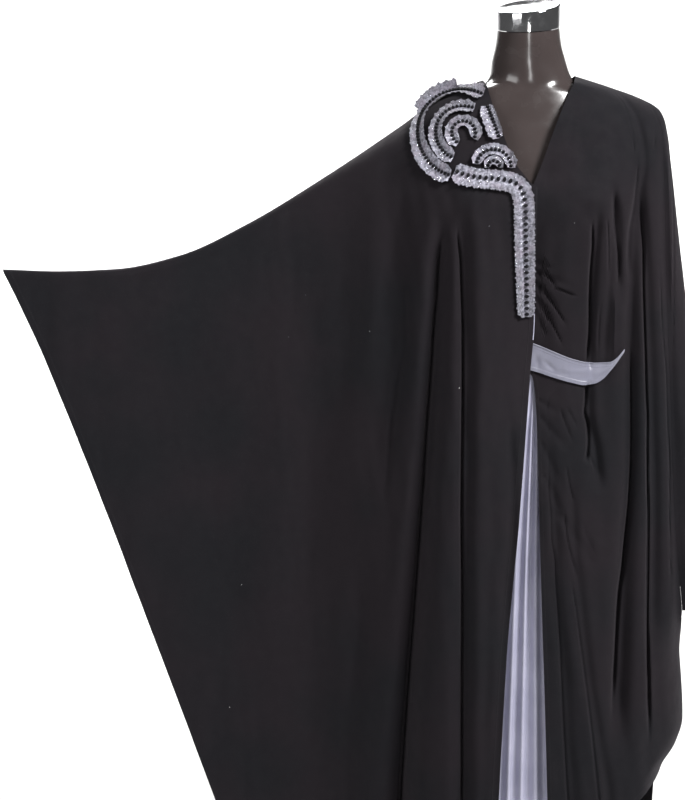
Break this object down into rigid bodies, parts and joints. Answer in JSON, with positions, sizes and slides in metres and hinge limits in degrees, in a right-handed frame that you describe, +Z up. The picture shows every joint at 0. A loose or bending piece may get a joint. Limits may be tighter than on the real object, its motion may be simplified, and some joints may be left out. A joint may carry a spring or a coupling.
{
  "type": "kaftan on a dress form",
  "caption": "Black batwing kaftan on a limbless gloss dress form: one wing held out, ruffle rosette and placket, satin belt and pleated satin in the slit.",
  "frame": {"origin": "on the floor under the centre of the stand's base, on the axis of the pole", "axes": "+Z up along the pole, -Y the way the garment faces, -X towards the wing that is held out (the wearer's right)"},
  "size_m": [1.1401, 0.3974, 1.5252],
  "materials": {
    "black_cloth": "matte crepe",
    "grey_satin": "satin sheen",
    "silver_ribbon": "crimped ribbon with a fine metallic thread",
    "form_gloss": "high gloss",
    "chrome": "polished"
  },
  "bodies": {
    "root": {"front_right": "black_cloth", "front_left": "black_cloth", "back": "black_cloth", "wing_left_front": "black_cloth", "wing_left_back": "black_cloth", "satin_inset": "grey_satin", "belt": "grey_satin", "ruffle_petal_outer": "silver_ribbon", "ruffle_petal_middle": "silver_ribbon", "ruffle_petal_inner": "silver_ribbon", "ruffle_petal_right": "silver_ribbon", "ruffle_heart": "silver_ribbon", "ruffle_neck": "silver_ribbon", "ruffle_placket": "silver_ribbon", "form_torso": "form_gloss", "neck_cap": "chrome", "stand_pole": "chrome", "stand_base": "chrome"}
  },
  "joints": []
}
